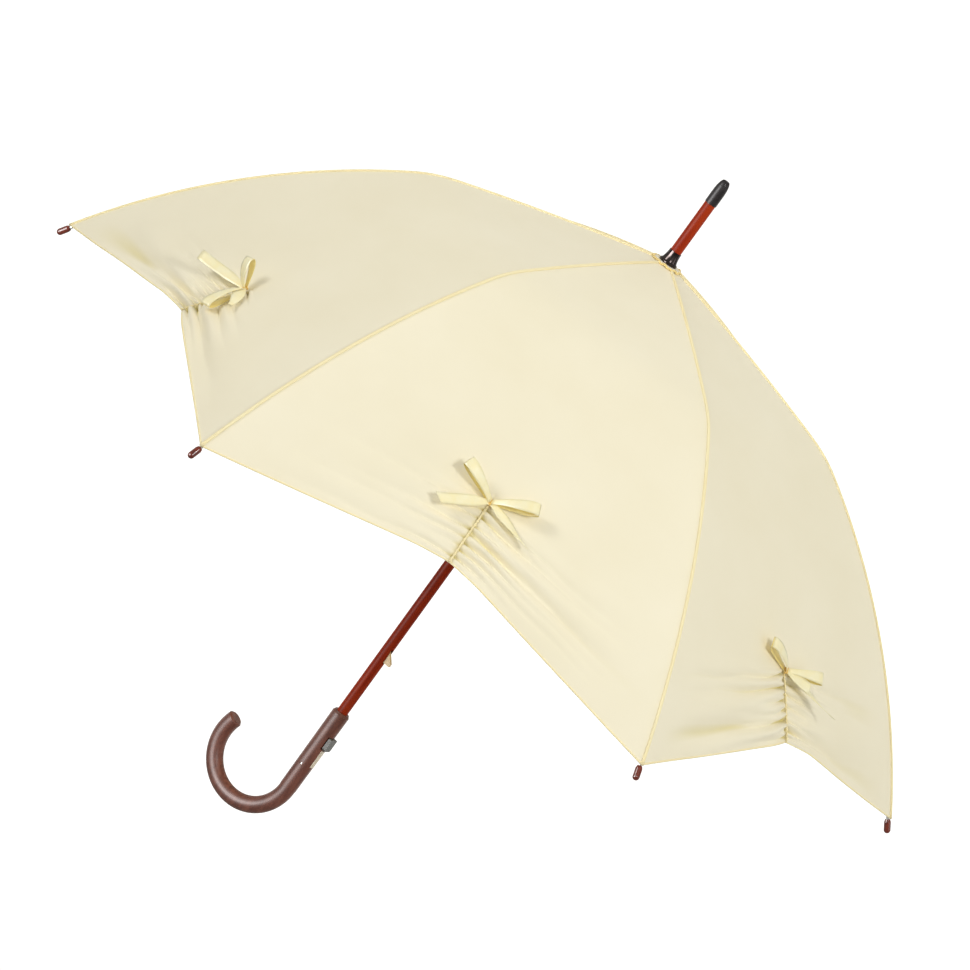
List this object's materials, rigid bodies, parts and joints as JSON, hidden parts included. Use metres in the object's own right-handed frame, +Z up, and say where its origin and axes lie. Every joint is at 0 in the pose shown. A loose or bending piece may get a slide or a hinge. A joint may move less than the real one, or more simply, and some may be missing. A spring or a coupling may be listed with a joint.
{
  "type": "children's umbrella",
  "caption": "Child-size stick umbrella with a crook handle, push button and a pointed canopy gathered under ribbon bows.",
  "frame": {"origin": "on the shaft's axis at the middle of the straight grip", "axes": "+Z up the shaft towards the ferrule, -X over the crook"},
  "size_m": [0.7218, 0.7706, 0.6207],
  "materials": {
    "painted_tube": "glossy red-brown paint",
    "black_plastic": "satin black",
    "gunmetal": "dark polished metal",
    "plated_steel": "nickel plate",
    "brown_plastic": "glossy dark brown",
    "handle_plastic": "glossy mauve brown",
    "grey_plastic": "satin grey",
    "white_plastic": "off-white",
    "brass": "pale brass",
    "brown_wood": "lacquered red-brown",
    "cloth": "plain cream polyester",
    "ribbon": "pale yellow satin"
  },
  "bodies": {
    "pole": {"shaft": "painted_tube", "ferrule": "black_plastic", "crown_cap": "gunmetal", "crown_rosette": "cloth", "top_notch": "plated_steel", "notch_wire": "plated_steel", "spring_anchor_pin": "plated_steel", "opening_spring": "plated_steel", "handle": "handle_plastic", "handle_pin": "plated_steel", "button_plate": "white_plastic"},
    "runner_set": {"runner": "brown_plastic", "runner_wire": "plated_steel", "runner_pin": "plated_steel"},
    "button": {"push_button": "grey_plastic"},
    "catch": {"catch_spring": "brass"},
    "rib_1": {"rib_1_inner": "plated_steel"},
    "rib_1_end": {"rib_1_outer": "plated_steel", "rib_1_tip": "brown_wood"},
    "strut_1": {"stretcher_1": "plated_steel"},
    "panel_1_top": {"canopy_1_upper": "cloth"},
    "panel_1_hem": {"canopy_1_lower": "cloth", "bow_1": "ribbon"},
    "rib_2": {"rib_2_inner": "plated_steel"},
    "rib_2_end": {"rib_2_outer": "plated_steel", "rib_2_tip": "brown_wood"},
    "strut_2": {"stretcher_2": "plated_steel"},
    "panel_2_top": {"canopy_2_upper": "cloth"},
    "panel_2_hem": {"canopy_2_lower": "cloth", "bow_2": "ribbon"},
    "rib_3": {"rib_3_inner": "plated_steel"},
    "rib_3_end": {"rib_3_outer": "plated_steel", "rib_3_tip": "brown_wood"},
    "strut_3": {"stretcher_3": "plated_steel"},
    "panel_3_top": {"canopy_3_upper": "cloth"},
    "panel_3_hem": {"canopy_3_lower": "cloth", "bow_3": "ribbon"},
    "rib_4": {"rib_4_inner": "plated_steel"},
    "rib_4_end": {"rib_4_outer": "plated_steel", "rib_4_tip": "brown_wood"},
    "strut_4": {"stretcher_4": "plated_steel"},
    "panel_4_top": {"canopy_4_upper": "cloth"},
    "panel_4_hem": {"canopy_4_lower": "cloth", "bow_4": "ribbon"},
    "rib_5": {"rib_5_inner": "plated_steel"},
    "rib_5_end": {"rib_5_outer": "plated_steel", "rib_5_tip": "brown_wood"},
    "strut_5": {"stretcher_5": "plated_steel"},
    "panel_5_top": {"canopy_5_upper": "cloth"},
    "panel_5_hem": {"canopy_5_lower": "cloth", "bow_5": "ribbon", "closing_strap": "cloth"},
    "rib_6": {"rib_6_inner": "plated_steel"},
    "rib_6_end": {"rib_6_outer": "plated_steel", "rib_6_tip": "brown_wood"},
    "strut_6": {"stretcher_6": "plated_steel"},
    "panel_6_top": {"canopy_6_upper": "cloth"},
    "panel_6_hem": {"canopy_6_lower": "cloth", "bow_6": "ribbon"}
  },
  "joints": [
    {"name": "canopy_fold", "type": "hinge", "parent": "pole", "child": "rib_1", "pos_m": [-0.00695, -0.00281, 0.46295], "axis": [0.3746, -0.9272, 0], "range_deg": [0, 71.71], "stiffness_Nm_per_rad": 1, "springref_deg": -34.38, "deforming": ["canopy_1_upper", "canopy_1_lower", "canopy_2_upper", "canopy_2_lower", "canopy_3_upper", "canopy_3_lower", "canopy_4_upper", "canopy_4_lower", "canopy_5_upper", "canopy_5_lower", "canopy_6_upper", "canopy_6_lower", "bow_1", "bow_2", "bow_3", "bow_4", "bow_5", "bow_6", "closing_strap", "catch_spring", "opening_spring"]},
    {"name": "rib_1_flex", "type": "hinge", "parent": "rib_1", "child": "rib_1_end", "pos_m": [-0.16568, -0.06694, 0.41615], "axis": [0.3746, -0.9272, 0], "range_deg": [-25.73, 0]},
    {"name": "stretcher_1_hinge", "type": "hinge", "parent": "rib_1", "child": "strut_1", "pos_m": [-0.16568, -0.06694, 0.41615], "axis": [0.3746, -0.9272, 0], "range_deg": [-143.44, 0]},
    {"name": "panel_1_fold", "type": "hinge", "parent": "pole", "child": "panel_1_top", "pos_m": [-0.00613, -0.00785, 0.46895], "axis": [0.788, -0.6157, 0], "range_deg": [0, 68.54]},
    {"name": "panel_1_drop", "type": "hinge", "parent": "panel_1_top", "child": "panel_1_hem", "pos_m": [-0.09602, -0.12289, 0.4222], "axis": [0.788, -0.6157, 0], "range_deg": [-26.66, 0]},
    {"name": "rib_2_fold", "type": "hinge", "parent": "pole", "child": "rib_2", "pos_m": [-0.00104, -0.00743, 0.46295], "axis": [0.9903, -0.1392, 0], "range_deg": [0, 71.73]},
    {"name": "rib_2_flex", "type": "hinge", "parent": "rib_2", "child": "rib_2_end", "pos_m": [-0.02487, -0.17695, 0.41615], "axis": [0.9903, -0.1392, 0], "range_deg": [-25.73, 0]},
    {"name": "stretcher_2_hinge", "type": "hinge", "parent": "rib_2", "child": "strut_2", "pos_m": [-0.02487, -0.17695, 0.41615], "axis": [0.9903, -0.1392, 0], "range_deg": [-143.44, 0]},
    {"name": "panel_2_fold", "type": "hinge", "parent": "pole", "child": "panel_2_top", "pos_m": [0.00373, -0.00923, 0.46895], "axis": [0.9272, 0.3746, 0], "range_deg": [0, 68.54]},
    {"name": "panel_2_drop", "type": "hinge", "parent": "panel_2_top", "child": "panel_2_hem", "pos_m": [0.05842, -0.1446, 0.4222], "axis": [0.9272, 0.3746, 0], "range_deg": [-26.66, 0]},
    {"name": "rib_3_fold", "type": "hinge", "parent": "pole", "child": "rib_3", "pos_m": [0.00591, -0.00462, 0.46295], "axis": [0.6157, 0.788, 0], "range_deg": [0, 71.73]},
    {"name": "rib_3_flex", "type": "hinge", "parent": "rib_3", "child": "rib_3_end", "pos_m": [0.14081, -0.11001, 0.41615], "axis": [0.6157, 0.788, 0], "range_deg": [-25.73, 0]},
    {"name": "stretcher_3_hinge", "type": "hinge", "parent": "rib_3", "child": "strut_3", "pos_m": [0.14081, -0.11001, 0.41615], "axis": [0.6157, 0.788, 0], "range_deg": [-143.44, 0]},
    {"name": "panel_3_fold", "type": "hinge", "parent": "pole", "child": "panel_3_top", "pos_m": [0.00986, -0.00139, 0.46895], "axis": [0.1392, 0.9903, 0], "range_deg": [0, 68.54]},
    {"name": "panel_3_drop", "type": "hinge", "parent": "panel_3_top", "child": "panel_3_hem", "pos_m": [0.15444, -0.0217, 0.4222], "axis": [0.1392, 0.9903, 0], "range_deg": [-26.66, 0]},
    {"name": "rib_4_fold", "type": "hinge", "parent": "pole", "child": "rib_4", "pos_m": [0.00695, 0.00281, 0.46295], "axis": [-0.3746, 0.9272, 0], "range_deg": [0, 71.73]},
    {"name": "rib_4_flex", "type": "hinge", "parent": "rib_4", "child": "rib_4_end", "pos_m": [0.16568, 0.06694, 0.41615], "axis": [-0.3746, 0.9272, 0], "range_deg": [-25.73, 0]},
    {"name": "stretcher_4_hinge", "type": "hinge", "parent": "rib_4", "child": "strut_4", "pos_m": [0.16568, 0.06694, 0.41615], "axis": [-0.3746, 0.9272, 0], "range_deg": [-143.44, 0]},
    {"name": "panel_4_fold", "type": "hinge", "parent": "pole", "child": "panel_4_top", "pos_m": [0.00613, 0.00785, 0.46895], "axis": [-0.788, 0.6157, 0], "range_deg": [0, 68.54]},
    {"name": "panel_4_drop", "type": "hinge", "parent": "panel_4_top", "child": "panel_4_hem", "pos_m": [0.09602, 0.12289, 0.4222], "axis": [-0.788, 0.6157, 0], "range_deg": [-26.66, 0]},
    {"name": "rib_5_fold", "type": "hinge", "parent": "pole", "child": "rib_5", "pos_m": [0.00104, 0.00743, 0.46295], "axis": [-0.9903, 0.1392, 0], "range_deg": [0, 71.73]},
    {"name": "rib_5_flex", "type": "hinge", "parent": "rib_5", "child": "rib_5_end", "pos_m": [0.02487, 0.17695, 0.41615], "axis": [-0.9903, 0.1392, 0], "range_deg": [-25.73, 0]},
    {"name": "stretcher_5_hinge", "type": "hinge", "parent": "rib_5", "child": "strut_5", "pos_m": [0.02487, 0.17695, 0.41615], "axis": [-0.9903, 0.1392, 0], "range_deg": [-143.44, 0]},
    {"name": "panel_5_fold", "type": "hinge", "parent": "pole", "child": "panel_5_top", "pos_m": [-0.00373, 0.00923, 0.46895], "axis": [-0.9272, -0.3746, 0], "range_deg": [0, 68.54]},
    {"name": "panel_5_drop", "type": "hinge", "parent": "panel_5_top", "child": "panel_5_hem", "pos_m": [-0.05842, 0.1446, 0.4222], "axis": [-0.9272, -0.3746, 0], "range_deg": [-26.66, 0]},
    {"name": "rib_6_fold", "type": "hinge", "parent": "pole", "child": "rib_6", "pos_m": [-0.00591, 0.00462, 0.46295], "axis": [-0.6157, -0.788, 0], "range_deg": [0, 71.73]},
    {"name": "rib_6_flex", "type": "hinge", "parent": "rib_6", "child": "rib_6_end", "pos_m": [-0.14081, 0.11001, 0.41615], "axis": [-0.6157, -0.788, 0], "range_deg": [-25.73, 0]},
    {"name": "stretcher_6_hinge", "type": "hinge", "parent": "rib_6", "child": "strut_6", "pos_m": [-0.14081, 0.11001, 0.41615], "axis": [-0.6157, -0.788, 0], "range_deg": [-143.44, 0]},
    {"name": "panel_6_fold", "type": "hinge", "parent": "pole", "child": "panel_6_top", "pos_m": [-0.00986, 0.00139, 0.46895], "axis": [-0.1392, -0.9903, 0], "range_deg": [0, 68.54]},
    {"name": "panel_6_drop", "type": "hinge", "parent": "panel_6_top", "child": "panel_6_hem", "pos_m": [-0.15444, 0.0217, 0.4222], "axis": [-0.1392, -0.9903, 0], "range_deg": [-26.66, 0]},
    {"name": "runner_travel", "type": "hinge", "parent": "strut_1", "child": "runner_set", "pos_m": [-0.00695, -0.00281, 0.36936], "axis": [0.3746, -0.9272, 0], "range_deg": [0, 71.73]},
    {"name": "button_press", "type": "slide", "parent": "pole", "child": "button", "axis": [-1, 0, 0], "range_m": [0, 0.001], "stiffness_N_per_m": 1500, "springref_m": -0.001},
    {"name": "catch_swing", "type": "hinge", "parent": "pole", "child": "catch", "pos_m": [0, 0, -0.008], "axis": [0, -1, 0], "range_deg": [0, 2.46]}
  ],
  "couplings": [
    {"joint": "rib_1_flex", "follows": "canopy_fold", "ratio": -0.35855},
    {"joint": "stretcher_1_hinge", "follows": "canopy_fold", "ratio": -2},
    {"joint": "panel_1_fold", "follows": "canopy_fold", "ratio": 0.95552},
    {"joint": "panel_1_drop", "follows": "canopy_fold", "ratio": -0.37144},
    {"joint": "rib_2_fold", "follows": "canopy_fold", "ratio": 1},
    {"joint": "rib_2_flex", "follows": "canopy_fold", "ratio": -0.35855},
    {"joint": "stretcher_2_hinge", "follows": "canopy_fold", "ratio": -2},
    {"joint": "panel_2_fold", "follows": "canopy_fold", "ratio": 0.95552},
    {"joint": "panel_2_drop", "follows": "canopy_fold", "ratio": -0.37144},
    {"joint": "rib_3_fold", "follows": "canopy_fold", "ratio": 1},
    {"joint": "rib_3_flex", "follows": "canopy_fold", "ratio": -0.35855},
    {"joint": "stretcher_3_hinge", "follows": "canopy_fold", "ratio": -2},
    {"joint": "panel_3_fold", "follows": "canopy_fold", "ratio": 0.95552},
    {"joint": "panel_3_drop", "follows": "canopy_fold", "ratio": -0.37144},
    {"joint": "rib_4_fold", "follows": "canopy_fold", "ratio": 1},
    {"joint": "rib_4_flex", "follows": "canopy_fold", "ratio": -0.35855},
    {"joint": "stretcher_4_hinge", "follows": "canopy_fold", "ratio": -2},
    {"joint": "panel_4_fold", "follows": "canopy_fold", "ratio": 0.95552},
    {"joint": "panel_4_drop", "follows": "canopy_fold", "ratio": -0.37144},
    {"joint": "rib_5_fold", "follows": "canopy_fold", "ratio": 1},
    {"joint": "rib_5_flex", "follows": "canopy_fold", "ratio": -0.35855},
    {"joint": "stretcher_5_hinge", "follows": "canopy_fold", "ratio": -2},
    {"joint": "panel_5_fold", "follows": "canopy_fold", "ratio": 0.95552},
    {"joint": "panel_5_drop", "follows": "canopy_fold", "ratio": -0.37144},
    {"joint": "rib_6_fold", "follows": "canopy_fold", "ratio": 1},
    {"joint": "rib_6_flex", "follows": "canopy_fold", "ratio": -0.35855},
    {"joint": "stretcher_6_hinge", "follows": "canopy_fold", "ratio": -2},
    {"joint": "panel_6_fold", "follows": "canopy_fold", "ratio": 0.95552},
    {"joint": "panel_6_drop", "follows": "canopy_fold", "ratio": -0.37144},
    {"joint": "runner_travel", "follows": "canopy_fold", "ratio": 1},
    {"joint": "catch_swing", "follows": "button_press", "rad_per_m": 42.553}
  ]
}
